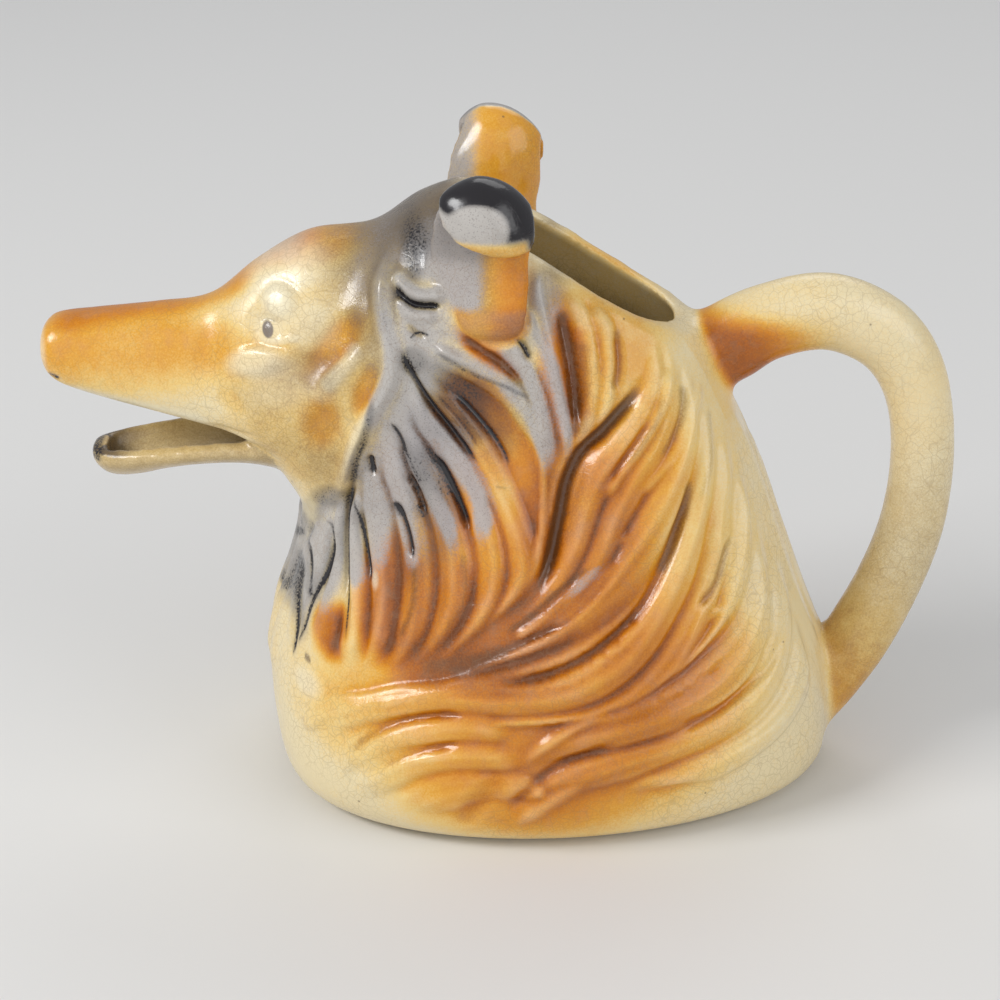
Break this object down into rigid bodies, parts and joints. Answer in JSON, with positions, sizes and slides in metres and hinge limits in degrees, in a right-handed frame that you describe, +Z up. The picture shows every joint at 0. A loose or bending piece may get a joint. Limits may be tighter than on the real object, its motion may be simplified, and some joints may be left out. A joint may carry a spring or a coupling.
{
  "type": "ceramic creamer",
  "caption": "Hollow ceramic creamer in the shape of a long-nosed sheepdog's head with a flowing mane: slanting filling mouth, pouring spout between open jaws, loop handle behind.",
  "frame": {"origin": "under the middle of the whole object, on the plane that the foot ring stands on", "axes": "+Z up, muzzle towards -X, handle towards +X, the dog's left side towards -Y"},
  "size_m": [0.1562, 0.0784, 0.1135],
  "materials": {
    "body_glaze": "glossy, crazed clear glaze over cream with airbrushed orange and grey",
    "handle_glaze": "glossy, crazed clear glaze over cream",
    "ear_glaze": "glossy, crazed clear glaze over grey and orange"
  },
  "bodies": {
    "root": {"body": "body_glaze", "handle": "handle_glaze", "ear_left": "ear_glaze", "ear_right": "ear_glaze"}
  },
  "joints": []
}
